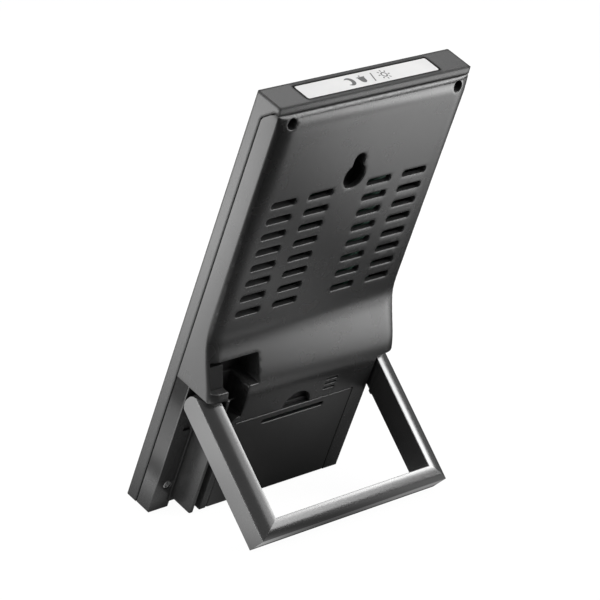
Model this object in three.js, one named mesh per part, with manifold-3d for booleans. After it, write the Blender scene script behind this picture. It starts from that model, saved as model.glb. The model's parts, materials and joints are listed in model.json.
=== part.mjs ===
// Desk weather station with a fold-out bail stand, seen leaning back on its stand.
//
// Everything is built in the case frame, in millimetres:
//   x across the case, y from the display face towards the back, z up along the case.
// The finished group is then leaned back and set on the floor, +Z up, display facing -Y.

import * as THREE from 'three';
import { mergeVertices } from 'three/addons/utils/BufferGeometryUtils.js';
import Module from 'manifold-3d';

const wasm = await Module();
wasm.setup();

// ---------------------------------------------------------------- driving dimensions

const HALF_W = 54.1; // half the width of the case
const HEIGHT = 200; // height of the case along its own face
const WALL = 2.0; // shell thickness of the rear cover
const FRAME_DEPTH = 5.9; // front frame, front face to parting line
const LIP_BOTTOM = 196.8; // underside of the top wall of the front frame
const LIP_DEPTH = 13.95; // depth of that top wall
const COVER_FRONT = 6.15; // front edge of the rear cover
const COVER_TOP = 196.55; // top edge of the rear cover
const SIDE_DEPTH = 13.9; // back edge of the side walls
const BACK_DEPTH = 17.0; // flat middle of the back
const SLAB_DEPTH = 14.05; // floor of the channels the stand folds into
const BOX_DEPTH = 26.5; // back of the battery box at its lower edge
const BOX_TAPER = 0.014; // how much deeper it gets for each millimetre up
const BOX_BOTTOM = 6.2;
const BOX_RIGHT = -43.0;
const BOX_LEFT = 38.0;
const SHOULDER = { x: 33.4, z: 49.8, r: 4.6 }; // rounded corner of the box at the channel
const EAR_BOTTOM = 65.4; // underside of the bulge beside the battery box
const FIN = { inner: 41.4, outer: 43.0, bottom: 5.2, depth: 26.3 }; // outer wall of the channel
const CHANNEL_RIGHT = 32.8; // upper, wide part of the cable channel
const WELL = { x0: 27.2, x1: 53.0, z0: 69.5, z1: 81.5, floor: 13.0 }; // power socket well

const BAY = { x0: -29, x1: 29, z0: 7.6, z1: 50.4, y0: 9.7 }; // battery bay
const DOOR = { x0: -34.2, x1: 34.2, z0: 6.35, z1: 50.9, thick: 1.8 };
const CELL = { radius: 7.0, length: 50.5, pitch: 14.2, z0: 14.8, y: 17.0 };

const PIVOT = { y: 19.4, z: 57.9 }; // hinge line of the stand
const STAND_OPEN = THREE.MathUtils.degToRad(60);
const LEG_LENGTH = 61; // hinge line to the underside of the crossbar
const LEG_WIDTH = 9.0;
const BAR_WIDTH = 7.0;
const LEG_FRONT = -5.0;
const LEG_BACK = 4.9;
const PIN_RADIUS = 2.0;
const PIN_HOLE = 2.068;

const KEY_X = 18; // spacing of the setting keys
const SCREW_TOP = { x: 47.2, z: 193.1, joint: 6.0 };
const SCREW_LOW = { x: 47.4, z: 12.9, joint: 7.4 };
const BOARD_POSTS = [[-38, 90], [38, 90], [-38, 145], [38, 145]];

// The lean is the one at which the stand and the back edge of the case touch the same floor.
const FOOT = legPoint(LEG_LENGTH, LEG_FRONT);
const LEAN = Math.atan2(FOOT.z, FOOT.y - SLAB_DEPTH);

function legPoint(s, r) {
  return {
    y: PIVOT.y + s * Math.sin(STAND_OPEN) + r * Math.cos(STAND_OPEN),
    z: PIVOT.z - s * Math.cos(STAND_OPEN) + r * Math.sin(STAND_OPEN),
  };
}

// ---------------------------------------------------------------- solid helpers

function toSolid(geometry) {
  const g = geometry.clone();
  g.deleteAttribute('normal');
  g.deleteAttribute('uv');
  const m = mergeVertices(g, 1e-5);
  return new wasm.Manifold(new wasm.Mesh({
    numProp: 3,
    vertProperties: new Float32Array(m.attributes.position.array),
    triVerts: new Uint32Array(m.index.array),
  }));
}

function toGeometry(solid) {
  const mesh = solid.getMesh();
  const g = new THREE.BufferGeometry();
  g.setAttribute('position', new THREE.BufferAttribute(new Float32Array(mesh.vertProperties), 3));
  g.setIndex(new THREE.BufferAttribute(new Uint32Array(mesh.triVerts), 1));
  return g;
}

const join = (...solids) => solids.reduce((a, b) => a.add(b));
const cut = (solid, ...tools) => tools.reduce((a, b) => a.subtract(b), solid);

function box(x0, x1, y0, y1, z0, z1) {
  const g = new THREE.BoxGeometry(x1 - x0, y1 - y0, z1 - z0);
  g.translate((x0 + x1) / 2, (y0 + y1) / 2, (z0 + z1) / 2);
  return toSolid(g);
}

function extruded(points, depth) {
  const shape = new THREE.Shape(points.map(([a, b]) => new THREE.Vector2(a, b)));
  return new THREE.ExtrudeGeometry(shape, { depth, bevelEnabled: false });
}

// Polygon of [y, z] points, extruded from x0 to x1.
function prismX(points, x0, x1) {
  const g = extruded(points, x1 - x0);
  g.applyMatrix4(new THREE.Matrix4().set(0, 0, 1, x0, 1, 0, 0, 0, 0, 1, 0, 0, 0, 0, 0, 1));
  return toSolid(g);
}

// Polygon of [x, z] points, extruded from y0 to y1.
function prismY(points, y0, y1) {
  const g = extruded(points.map(([x, z]) => [z, x]), y1 - y0);
  g.applyMatrix4(new THREE.Matrix4().set(0, 1, 0, 0, 0, 0, 1, y0, 1, 0, 0, 0, 0, 0, 0, 1));
  return toSolid(g);
}

// Polygon of [x, y] points, extruded from z0 to z1.
function prismZ(points, z0, z1) {
  const g = extruded(points, z1 - z0);
  g.translate(0, 0, z0);
  return toSolid(g);
}

function arc(cx, cy, radius, from, to, steps) {
  const points = [];
  for (let i = 0; i <= steps; i += 1) {
    const a = THREE.MathUtils.degToRad(from + ((to - from) * i) / steps);
    points.push([cx + radius * Math.cos(a), cy + radius * Math.sin(a)]);
  }
  return points;
}

function circle(cx, cy, radius, sides) {
  return arc(cx, cy, radius, 0, 360, sides).slice(0, -1);
}

function roundedRect(x0, x1, y0, y1, r, steps = 3) {
  return [
    ...arc(x1 - r, y0 + r, r, -90, 0, steps),
    ...arc(x1 - r, y1 - r, r, 0, 90, steps),
    ...arc(x0 + r, y1 - r, r, 90, 180, steps),
    ...arc(x0 + r, y0 + r, r, 180, 270, steps),
  ];
}

const rodX = (y, z, r, x0, x1, sides = 24) => prismX(circle(y, z, r, sides), x0, x1);
const rodY = (x, z, r, y0, y1, sides = 20) => prismY(circle(x, z, r, sides), y0, y1);

// Lathe profile of [radius, height] points, standing along +Y from y = 0.
function turnedY(profile, sides) {
  const points = profile.map(([r, h]) => new THREE.Vector2(r, h));
  return toSolid(new THREE.LatheGeometry(points, sides));
}

function interpolate(table, t) {
  if (t <= table[0][0]) return table[0][1];
  for (let i = 1; i < table.length; i += 1) {
    const [t1, v1] = table[i];
    const [t0, v0] = table[i - 1];
    if (t <= t1) return v0 + ((v1 - v0) * (t - t0)) / (t1 - t0);
  }
  return table[table.length - 1][1];
}

// Block from y = base up to the height field depthAt(x, z) over a grid.
function pillow(xs, zs, depthAt, base) {
  const nx = xs.length;
  const nz = zs.length;
  const positions = [];
  for (const side of [0, 1]) {
    for (let j = 0; j < nz; j += 1) {
      for (let i = 0; i < nx; i += 1) {
        positions.push(xs[i], side ? depthAt(xs[i], zs[j]) : base, zs[j]);
      }
    }
  }
  const index = [];
  const at = (side, i, j) => side * nx * nz + j * nx + i;
  const quad = (a, b, c, d) => index.push(a, b, c, a, c, d);
  for (let j = 0; j < nz - 1; j += 1) {
    for (let i = 0; i < nx - 1; i += 1) {
      quad(at(0, i, j), at(0, i + 1, j), at(0, i + 1, j + 1), at(0, i, j + 1));
      quad(at(1, i, j), at(1, i, j + 1), at(1, i + 1, j + 1), at(1, i + 1, j));
    }
  }
  for (let i = 0; i < nx - 1; i += 1) {
    quad(at(0, i, 0), at(1, i, 0), at(1, i + 1, 0), at(0, i + 1, 0));
    quad(at(0, i + 1, nz - 1), at(1, i + 1, nz - 1), at(1, i, nz - 1), at(0, i, nz - 1));
  }
  for (let j = 0; j < nz - 1; j += 1) {
    quad(at(0, 0, j + 1), at(1, 0, j + 1), at(1, 0, j), at(0, 0, j));
    quad(at(0, nx - 1, j), at(1, nx - 1, j), at(1, nx - 1, j + 1), at(0, nx - 1, j + 1));
  }
  const g = new THREE.BufferGeometry();
  g.setAttribute('position', new THREE.BufferAttribute(new Float32Array(positions), 3));
  g.setIndex(index);
  return toSolid(g);
}

// ---------------------------------------------------------------- rear cover

// The back rises from its edge in two steps: a tight round, then a long gentle slope.
const RIM_WIDTH = 9;
const RIM_ROUND = { width: 1.3, share: 0.36 };
const RIM_STEPS = [0, 0.25, 0.75, 1.4, 2.6, 4.3, 6.4, RIM_WIDTH];
// Depth of the back by height, along the side edges and along the middle.
const SIDE_PROFILE = [[65.4, 23.85], [67, 23.4], [72.2, 21.3], [79, 18.1], [82.4, 16.7],
  [85.7, 15.5], [89.9, 14.55], [94.3, 14.0], [98, SIDE_DEPTH]];
const MID_PROFILE = [[60, 27.27], [62, 27.3], [64, 27.27], [66, 27.1], [68, 26.75], [70, 26.2],
  [72, 25.5], [74, 24.6], [78, 22.6], [82, 20.55], [84, 19.5], [86, 18.5], [88, 17.7],
  [90, 17.2], [92, 17.02], [94, BACK_DEPTH]];
const GRID_HEIGHTS = [67, 69, 71, 73, 76, 79, 82, 84, 86, 88, 90, 92, 95, 98];

// Share of that rise, 0 at the edge and 1 inside, at some distance in from the edge.
function rise(distance, width) {
  const near = 1 - THREE.MathUtils.clamp(distance / RIM_ROUND.width, 0, 1);
  const far = 1 - THREE.MathUtils.clamp(distance / width, 0, 1);
  return RIM_ROUND.share * Math.sqrt(1 - near * near) + (1 - RIM_ROUND.share) * (1 - far ** 2.2);
}

function backDepth(x, z) {
  const width = THREE.MathUtils.mapLinear(THREE.MathUtils.clamp(z, 84, 92), 84, 92, 6, RIM_WIDTH);
  const across = rise(HALF_W - Math.abs(x), width);
  const up = rise(COVER_TOP - z, RIM_WIDTH);
  const side = interpolate(SIDE_PROFILE, z);
  const middle = interpolate(MID_PROFILE, z);
  return side + (middle - side) * across * up;
}

// The rounded back from z0 up to the top edge; inset makes the smaller copy for the hollow.
function pillowBlock(inset, base, z0) {
  const steps = inset ? RIM_STEPS.filter((_, i) => i % 2 === 0).concat(RIM_WIDTH) : RIM_STEPS;
  const xs = [];
  for (const d of steps) {
    xs.push(-HALF_W + d + inset, HALF_W - d - inset);
  }
  xs.sort((a, b) => a - b);
  const heights = inset ? GRID_HEIGHTS.filter((_, i) => i % 2 === 1) : GRID_HEIGHTS;
  const zs = [z0, ...heights.filter((z) => z > z0 + 0.5)];
  for (const d of [...steps].reverse()) {
    zs.push(COVER_TOP - d - inset);
  }
  const depth = (x, z) => {
    const wide = x + Math.sign(x) * inset;
    const high = z > 150 ? z + inset : z;
    return backDepth(wide, high) - inset;
  };
  return pillow(xs, zs, depth, base);
}

function boxDepth(z) {
  return BOX_DEPTH + BOX_TAPER * (z - BOX_BOTTOM);
}

// Outline of the battery box seen from the back, with its rounded shoulder at the channel.
function batteryBox() {
  const outline = [
    [BOX_RIGHT, BOX_BOTTOM],
    [BOX_LEFT, BOX_BOTTOM],
    ...arc(SHOULDER.x, SHOULDER.z, SHOULDER.r, 0, 90, 5),
    [CHANNEL_RIGHT, SHOULDER.z + SHOULDER.r],
    [CHANNEL_RIGHT, 66.5],
    [BOX_RIGHT, 66.5],
  ];
  return prismY(outline, 8, 30).intersect(underBoxBack(0));
}

// Everything in front of the sloping back of the battery box, lowered by some thickness.
function underBoxBack(thickness) {
  return prismX([
    [0, -10],
    [boxDepth(-10) - thickness, -10],
    [boxDepth(70) - thickness, 70],
    [0, 70],
  ], -60, 60);
}

function coverOutside() {
  const slab = cut(
    box(-HALF_W, HALF_W, COVER_FRONT, SLAB_DEPTH, 0, 66),
    box(-43, 43, 0, 30, -1, 2.85),
  );
  return join(
    pillowBlock(0, COVER_FRONT, EAR_BOTTOM),
    slab,
    batteryBox(),
    box(FIN.inner, FIN.outer, 13, FIN.depth, FIN.bottom, 66),
    rodX(PIVOT.y, PIVOT.z, 4.2, FIN.inner, 44.7),
    rodX(PIVOT.y, PIVOT.z, 4.2, -44.7, BOX_RIGHT),
  );
}

function coverInside() {
  const front = COVER_FRONT - 1;
  const right = BOX_RIGHT + 1.8;
  const backSpaces = join(
    // above the battery bay
    box(right, CHANNEL_RIGHT - 1.7, front, 30, 52.2, 70),
    box(right, WELL.x0 - 1.6, front, 30, 60, 70),
    // on either side of the battery bay
    box(right, DOOR.x0 - 1.8, front, 30, BOX_BOTTOM + 1.6, 55),
  );
  return join(
    pillowBlock(WALL, front, EAR_BOTTOM + WALL),
    // the lower slab
    box(-HALF_W + WALL, HALF_W - WALL, front, SLAB_DEPTH - WALL, 4.85, 70),
    box(43 + WALL, HALF_W - WALL, front, SLAB_DEPTH - WALL, WALL, 6),
    box(-HALF_W + WALL, -43 - WALL, front, SLAB_DEPTH - WALL, WALL, 6),
    backSpaces.intersect(underBoxBack(WALL)),
    box(BAY.x0 - 12, BAY.x0 - 1.6, front, 22, 8, 51),
    box(BAY.x1 + 1.6, BOX_LEFT - 1.6, front, 22, 8, 48),
  );
}

// Walls that stand inside the hollow of the cover.
function coverInnerWalls() {
  const bay = box(BAY.x0 - 1.6, BAY.x1 + 1.6, BAY.y0 - 1.5, 25.5, BOX_BOTTOM, 52.2);
  const well = box(WELL.x0 - 1.6, HALF_W - 0.4, WELL.floor - 1.6, 30, EAR_BOTTOM + 0.1, WELL.z1 + 1.6);
  const channel = box(CHANNEL_RIGHT - 1.7, FIN.outer, 11.4, 26, 3, WELL.z0);
  const thumb = box(-10.5, 10.5, 22.4, 26.4, 50, 60.5);
  const hanger = box(-7.6, 7.6, 9.9, BACK_DEPTH - 1, 152, 172.4);
  const posts = [];
  for (const side of [-1, 1]) {
    posts.push(rodY(side * SCREW_TOP.x, SCREW_TOP.z, 4.1, SCREW_TOP.joint + 0.2, 20, 16));
    posts.push(rodY(side * SCREW_LOW.x, SCREW_LOW.z, 4.1, SCREW_LOW.joint + 0.2, 13, 16));
  }
  for (const [x, z] of BOARD_POSTS) {
    posts.push(rodY(x, z, 2.9, 9.95, 16, 12));
  }
  return join(bay, well, channel, thumb, hanger, ...posts).intersect(coverOutside());
}

function ventSlots() {
  const slots = [];
  for (const x of [-37.3, -16.6, 16.6, 37.3]) {
    for (let row = 0; row < 8; row += 1) {
      const z = 101.4 + row * 7.54;
      slots.push(prismY(roundedRect(x - 6.9, x + 6.9, z - 1.6, z + 1.6, 1.5, 3), 12, 20));
    }
  }
  return join(...slots);
}

function keyhole(y0, y1) {
  const outline = [
    ...arc(-0.2, 159.6, 5.8, 122.3, 417.7, 14),
    ...arc(-0.2, 167.5, 3.1, 0, 180, 6),
  ];
  return prismY(outline, y0, y1);
}

function coverOpenings() {
  const tools = [ventSlots(), keyhole(12, 20)];
  // pocket behind the keyhole
  tools.push(box(-6.4, 6.4, 11.1, BACK_DEPTH - WALL, 153.2, 171.2));
  // power socket well, and the cable channel running down from it
  tools.push(box(WELL.x0, WELL.x1, WELL.floor, 30, WELL.z0, WELL.z1));
  tools.push(box(CHANNEL_RIGHT, 44.2, 15.6, 30, EAR_BOTTOM - 1, WELL.z0 + 1));
  tools.push(box(CHANNEL_RIGHT, FIN.inner, 14.6, 30, SHOULDER.z + SHOULDER.r, WELL.z0 + 1));
  tools.push(prismY([
    ...arc(SHOULDER.x, SHOULDER.z, SHOULDER.r, 0, 90, 5),
    [CHANNEL_RIGHT, SHOULDER.z + SHOULDER.r],
    [CHANNEL_RIGHT, 56],
    [FIN.inner, 56],
    [FIN.inner, -1],
    [BOX_LEFT, -1],
  ], 14.6, 30));
  // battery bay, with the ledge its door lies on
  tools.push(box(BAY.x0, BAY.x1, BAY.y0, 30, BAY.z0, BAY.z1));
  tools.push(
    box(DOOR.x0 - 0.3, DOOR.x1 + 0.3, 10, 30, -1, DOOR.z1 + 0.3)
      .subtract(underBoxBack(DOOR.thick + 0.2)),
  );
  // half-moon for a fingertip above the door
  const moon = arc(0, DOOR.z1, 8.0, 0, 180, 10).map(([x, z]) => [x, DOOR.z1 + (z - DOOR.z1) * 0.9]);
  tools.push(prismY(moon, 24, 30));
  // sound slots
  for (const z of [55.6, 58.1, 60.6]) {
    tools.push(box(-21.3, -14.4, 20, 30, z - 0.55, z + 0.55));
  }
  for (const side of [-1, 1]) {
    // case screws
    tools.push(rodY(side * SCREW_TOP.x, SCREW_TOP.z, 2.35, 9, 20, 16));
    tools.push(rodY(side * SCREW_TOP.x, SCREW_TOP.z, 1.6, 5, 20, 12));
    tools.push(rodY(side * SCREW_LOW.x, SCREW_LOW.z, 2.3, 11.2, 20, 16));
    tools.push(rodY(side * SCREW_LOW.x, SCREW_LOW.z, 1.6, 5, 20, 12));
    // dimples that the bumps on the folded stand drop into
    const inner = side * 44.8;
    const outer = side * 49.2;
    tools.push(box(Math.min(inner, outer), Math.max(inner, outer), 13.1, 20, 41.6, 46.8));
  }
  for (const [x, z] of BOARD_POSTS) {
    tools.push(rodY(x, z, 1.2, 5, 14, 10));
  }
  // hinge pins of the stand
  tools.push(rodX(PIVOT.y, PIVOT.z, PIN_HOLE, 40, 50));
  tools.push(rodX(PIVOT.y, PIVOT.z, PIN_HOLE, -50, -40));
  // way down for the snooze key through the top edge
  tools.push(box(-39.9, 39.3, 5, 12.7, 194, 198));
  return tools;
}

function rearCover() {
  const shell = cut(coverOutside(), coverInside());
  const corner = [[FRAME_DEPTH, 190.65], [12.2, 196.95], [12.2, 200], [FRAME_DEPTH - 1, 200],
    [FRAME_DEPTH - 1, 190.65]];
  return cut(
    join(shell, coverInnerWalls()),
    ...coverOpenings(),
    prismX(corner, HALF_W - WALL - 0.1, HALF_W + 1),
    prismX(corner, -HALF_W - 1, -HALF_W + WALL + 0.1),
  );
}

// ---------------------------------------------------------------- front frame

function frontFrame() {
  const plan = [
    [-HALF_W, FRAME_DEPTH],
    ...arc(-HALF_W + 0.7, 0.7, 0.7, 180, 270, 2),
    ...arc(HALF_W - 0.7, 0.7, 0.7, 270, 360, 2),
    [HALF_W, FRAME_DEPTH],
  ];
  const lip = box(-HALF_W, HALF_W, 3, LIP_DEPTH, LIP_BOTTOM, HEIGHT);
  const gusset = [[FRAME_DEPTH - 0.5, 190.5], [FRAME_DEPTH, 191], [11.9, 197], [5.4, 197]];
  const hollow = box(-HALF_W + 1.8, HALF_W - 1.8, 2.2, FRAME_DEPTH + 1, 1.8, LIP_BOTTOM);
  const bosses = [];
  const holes = [];
  for (const side of [-1, 1]) {
    for (const at of [SCREW_TOP, SCREW_LOW]) {
      bosses.push(rodY(side * at.x, at.z, 3.2, 2, at.joint - 0.1, 16));
      holes.push(rodY(side * at.x, at.z, 1.5, 2.9, 8, 12));
    }
  }
  const keyHoles = [];
  for (let i = -2; i <= 2; i += 1) {
    const x = i * KEY_X;
    keyHoles.push(prismY(roundedRect(x - 5.8, x + 5.8, 17.2, 22.8, 2.4, 3), -1, 3));
  }
  return cut(
    join(
      cut(prismZ(plan, 0, HEIGHT), hollow),
      lip,
      prismX(gusset, HALF_W - 1.8, HALF_W),
      prismX(gusset, -HALF_W, -HALF_W + 1.8),
      ...bosses,
    ),
    ...holes,
    ...keyHoles,
    box(-50, 50, -1, 1.3, 30, 196),
    box(-45, 45, -1, 3, 40.5, 186.5),
    prismZ(roundedRect(-38.65, 37.45, 1.85, 11.85, 0.8, 2), 195, 201),
  );
}

// ---------------------------------------------------------------- stand

// Cross-section of the bail: [fraction of the width from outside to inside, r].
const BAIL_SECTION = [[0, LEG_FRONT], [1, LEG_FRONT], [1, 6.5], [0.97, 7.25], [0.88, 7.7],
  [0.74, 7.75], [0.58, 7.45], [0.4, 6.85], [0.2, 5.95], [0, LEG_BACK]];

// The bail is swept round its three mitred sides, flat, with s running down along -z.
function bailSweep() {
  const stations = [
    (t) => [HALF_W - LEG_WIDTH * t, -7],
    (t) => [HALF_W - LEG_WIDTH * t, LEG_LENGTH - BAR_WIDTH * t],
    (t) => [-HALF_W + LEG_WIDTH * t, LEG_LENGTH - BAR_WIDTH * t],
    (t) => [-HALF_W + LEG_WIDTH * t, -7],
  ];
  const n = BAIL_SECTION.length;
  const positions = [];
  for (const station of stations) {
    for (const [t, r] of BAIL_SECTION) {
      const [x, s] = station(t);
      positions.push(x, r, -s);
    }
  }
  const index = [];
  for (let k = 0; k < stations.length - 1; k += 1) {
    for (let i = 0; i < n; i += 1) {
      const a = k * n + i;
      const b = k * n + ((i + 1) % n);
      index.push(a, b, b + n, a, b + n, a + n);
    }
  }
  const section = BAIL_SECTION.map(([t, r]) => new THREE.Vector2(t, r));
  const last = (stations.length - 1) * n;
  for (const [a, b, c] of THREE.ShapeUtils.triangulateShape(section, [])) {
    index.push(a, c, b);
    index.push(last + a, last + b, last + c);
  }
  const g = new THREE.BufferGeometry();
  g.setAttribute('position', new THREE.BufferAttribute(new Float32Array(positions), 3));
  g.setIndex(index);
  return toSolid(g);
}

function standBail() {
  // side outline of a leg, as [r, -s], with its rounded hinge end
  const outline = [
    [LEG_FRONT - 0.5, -LEG_LENGTH - 1],
    [9, -LEG_LENGTH - 1],
    [9, -3.2],
    [7.6, -2.2],
    [6.6, -0.2],
    [5.2, 2.6],
    [4.0, 4.3],
    [2.4, 5.2],
    ...arc(0, 0, 5.2, 90, 180, 6),
    [LEG_FRONT - 0.5, 0],
  ];
  let bail = bailSweep().intersect(prismX(outline, -HALF_W - 1, HALF_W + 1));
  for (const side of [-1, 1]) {
    const bump = [[LEG_FRONT + 0.5, -12.2], [LEG_FRONT - 0.85, -13.0], [LEG_FRONT - 0.85, -14.2],
      [LEG_FRONT + 0.5, -15.0]];
    const near = side * (HALF_W - LEG_WIDTH);
    const far = side * 48.8;
    bail = join(bail, prismX(bump, Math.min(near, far), Math.max(near, far)));
    const hole = side > 0 ? rodX(0, 0, PIN_HOLE, 40, 51) : rodX(0, 0, PIN_HOLE, -51, -40);
    bail = cut(bail, hole);
  }
  return openStand(bail);
}

// Swings a solid from the folded stand frame to the open stand in the case frame.
function openStand(solid) {
  return solid
    .rotate([THREE.MathUtils.radToDeg(STAND_OPEN), 0, 0])
    .translate([0, PIVOT.y, PIVOT.z]);
}

function standPins() {
  return {
    stand_pin_left: openStand(rodX(0, 0, PIN_RADIUS, 41.5, 50.8)),
    stand_pin_right: openStand(rodX(0, 0, PIN_RADIUS, -50.8, -41.4)),
  };
}

// ---------------------------------------------------------------- keys and switches

function snoozeKey() {
  return join(
    prismZ(roundedRect(-38.3, 37.1, 2.2, 11.5, 0.6, 2), 196.0, 200.3),
    box(-39.1, 37.9, 2.6, 12.3, 195.4, 196.3),
  ).subtract(box(-50, 50, 0, 2.6, 190, 196.7));
}

function snoozeParts() {
  const parts = { snooze_key: snoozeKey(), snooze_board: box(-28, 28, 4.6, 12, 188.9, 190.1) };
  [-20, 20].forEach((x, i) => {
    parts[`snooze_switch_${i + 1}`] = join(
      box(x - 3, x + 3, 5.2, 11.2, 190.2, 193.2),
      prismZ(circle(x, 8.2, 1.6, 12), 193, 194.2),
    );
  });
  return parts;
}

function settingKeys() {
  const parts = { key_board: box(-43, 43, 5.4, 6.4, 14, 26) };
  for (let i = -2; i <= 2; i += 1) {
    const x = i * KEY_X;
    const n = i + 3;
    parts[`setting_key_${n}`] = join(
      prismY(roundedRect(x - 5.5, x + 5.5, 17.5, 22.5, 2.2, 3), -0.5, 2.8),
      box(x - 6.5, x + 6.5, 2.5, 3.3, 16.6, 23.4),
    );
    parts[`setting_switch_${n}`] = join(
      box(x - 2.5, x + 2.5, 4.5, 5.3, 17.5, 22.5),
      rodY(x, 20, 1.4, 3.9, 4.7, 12),
    );
  }
  return parts;
}

// ---------------------------------------------------------------- batteries

function batteryDoor() {
  const outline = roundedRect(DOOR.x0, DOOR.x1, DOOR.z0, DOOR.z1, 0.5, 1);
  const plate = prismY(outline, 10, 30)
    .intersect(underBoxBack(0))
    .subtract(underBoxBack(DOOR.thick));
  const slit = [[-17, 46.2], [17, 46.2], [18, 47.2], [17, 48.2], [-17, 48.2], [-18, 47.2]];
  return cut(plate, prismY(slit, 20, 30));
}

function batteries() {
  const parts = {};
  for (let i = 0; i < 3; i += 1) {
    const flip = i % 2 === 1;
    const { radius, length } = CELL;
    const cell = turnedY([[0, 0], [5.4, 0], [5.4, 0.3], [6.6, 0.3], [radius, 0.7],
      [radius, length - 1.7], [6.6, length - 1.3], [2.75, length - 1.3], [2.75, length], [0, length]], 24);
    const z = CELL.z0 + i * CELL.pitch;
    const x0 = flip ? BAY.x0 + 1.6 + length : BAY.x1 - 1.6 - length;
    parts[`battery_cell_${i + 1}`] = cell
      .rotate([0, 0, flip ? 90 : -90])
      .translate([x0, CELL.y, z]);
    parts[`battery_spring_${i + 1}`] = batterySpring()
      .rotate([0, flip ? -90 : 90, 0])
      .translate([flip ? BAY.x1 - 1.3 : BAY.x0 + 1.3, CELL.y, z]);
  }
  parts.contact_plate_left = box(BAY.x1 - 1.0, BAY.x1 - 0.5, 11, 23, 9, 49);
  parts.contact_plate_right = box(BAY.x0 + 0.5, BAY.x0 + 1.0, 11, 23, 9, 49);
  return parts;
}

// Conical spring standing along +Z, its wide coil at the contact plate.
function batterySpring() {
  const points = [];
  const steps = 24;
  for (let i = 0; i <= steps; i += 1) {
    const f = i / steps;
    const a = f * Math.PI * 2 * 3;
    const r = 4.2 - 1.9 * f;
    points.push(new THREE.Vector3(r * Math.cos(a), r * Math.sin(a), 0.1 + 3.6 * f));
  }
  const path = new THREE.CatmullRomCurve3(points);
  const wire = new THREE.Shape(circle(0, 0, 0.28, 5).map(([a, b]) => new THREE.Vector2(a, b)));
  return toSolid(new THREE.ExtrudeGeometry(wire, { steps: 30, extrudePath: path }));
}

// ---------------------------------------------------------------- inside of the case

function dcJack() {
  const body = prismX([[13.3, 69.8], [23.2, 69.8], [19.2, 78.6], [13.3, 78.6]], 44.6, 52.7);
  return {
    dc_jack: cut(body, rodX(17.4, 74.2, 2.75, 40, 51.2, 16)),
    dc_jack_pin: rodX(17.4, 74.2, 1.0, 45.3, 51.0, 12),
  };
}

function displayParts() {
  const ribbon = [[6.42, 35.8], [6.57, 35.8], [6.57, 51.9], [8.3, 55.3], [8.16, 55.4], [6.42, 52]];
  return {
    display_window: box(-49.75, 49.75, 0.1, 1.25, 30.25, 195.75),
    lcd_panel: box(-47, 47, 2.4, 4.4, 38, 188.5),
    light_guide: box(-46, 46, 4.5, 6.3, 40, 188.4),
    backlight_bar: box(-40, 40, 4.6, 6.2, 38.1, 39.8),
    lcd_connector: box(-38, 38, 2.6, 6.2, 34, 37.7),
    display_ribbon: prismX(ribbon, -12, 12),
  };
}

function electronics() {
  const boardHoles = BOARD_POSTS.map(([x, z]) => rodY(x, z, 1.35, 7, 11, 12));
  const parts = {
    main_board: cut(box(-42, 42, 8.4, 9.8, 56, 150), ...boardHoles),
    receiver_board: box(-40, -22, 8.4, 9.6, 154, 172),
    control_chip: rodY(10, 118, 7, 9.9, 11.4, 16),
    receiver_chip: box(-35, -28, 9.7, 10.9, 160, 166),
    buzzer: rodY(-18, 59.4, 6.4, 19.5, 24.6, 20),
    antenna_rod: rodX(10.75, 180, 3.4, -30, 30, 16),
    antenna_coil: rodX(10.75, 180, 4.2, -9, 9, 16).subtract(rodX(10.75, 180, 3.5, -10, 10, 16)),
  };
  BOARD_POSTS.forEach(([x, z], i) => {
    const screw = turnedY([[0, 0], [2.1, 0], [2.1, 1.3], [1.05, 1.3], [1.05, 6], [0, 6]], 10);
    parts[`board_screw_${i + 1}`] = screw.translate([x, 7.05, z]);
  });
  return parts;
}

function caseScrews() {
  const parts = {};
  const places = [[SCREW_TOP, 1, 10.7], [SCREW_TOP, -1, 10.7], [SCREW_LOW, 1, 12.9],
    [SCREW_LOW, -1, 12.9]];
  places.forEach(([at, side, top], i) => {
    const shank = top - 1.6;
    const head = 2.1;
    const screw = cut(
      turnedY([[0, 3.2], [1.3, 3.2], [1.3, shank], [head, shank], [head, top - 0.4],
        [head - 0.5, top], [0, top]], 16),
      box(-1.5, 1.5, top - 0.7, top + 1, -0.3, 0.3),
      box(-0.3, 0.3, top - 0.7, top + 1, -1.5, 1.5),
    );
    parts[`case_screw_${i + 1}`] = screw.translate([side * at.x, 0, at.z]);
  });
  return parts;
}

// ---------------------------------------------------------------- materials

const BLACK = { color: 0x2a2c2d, roughness: 0.4, metalness: 0 };
const WHITE = { color: 0xf0f0ee, roughness: 0.5, metalness: 0 };
const STEEL = { color: 0xb9bcbf, roughness: 0.35, metalness: 1 };
const BOARD = { color: 0x1d5a3c, roughness: 0.6, metalness: 0 };
const SLEEVE = { color: 0x1c4a3a, roughness: 0.4, metalness: 0 };
const DARK = { color: 0x151617, roughness: 0.7, metalness: 0 };

const LOOKS = {
  front_frame: BLACK,
  rear_cover: { color: 0x303233, roughness: 0.38, metalness: 0 },
  battery_door: { color: 0x2c2e2f, roughness: 0.42, metalness: 0 },
  stand_bail: { color: 0x35373a, roughness: 0.36, metalness: 0 },
  snooze_key: WHITE,
  display_window: { color: 0x101214, roughness: 0.08, metalness: 0 },
  lcd_panel: { color: 0x6f7a74, roughness: 0.2, metalness: 0 },
  light_guide: { color: 0xe4e8ea, roughness: 0.3, metalness: 0 },
  backlight_bar: { color: 0xf2edd6, roughness: 0.5, metalness: 0 },
  lcd_connector: { color: 0xc9a7a0, roughness: 0.8, metalness: 0 },
  display_ribbon: { color: 0xb8782c, roughness: 0.5, metalness: 0 },
  antenna_coil: { color: 0xb06a32, roughness: 0.4, metalness: 1 },
};

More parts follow.
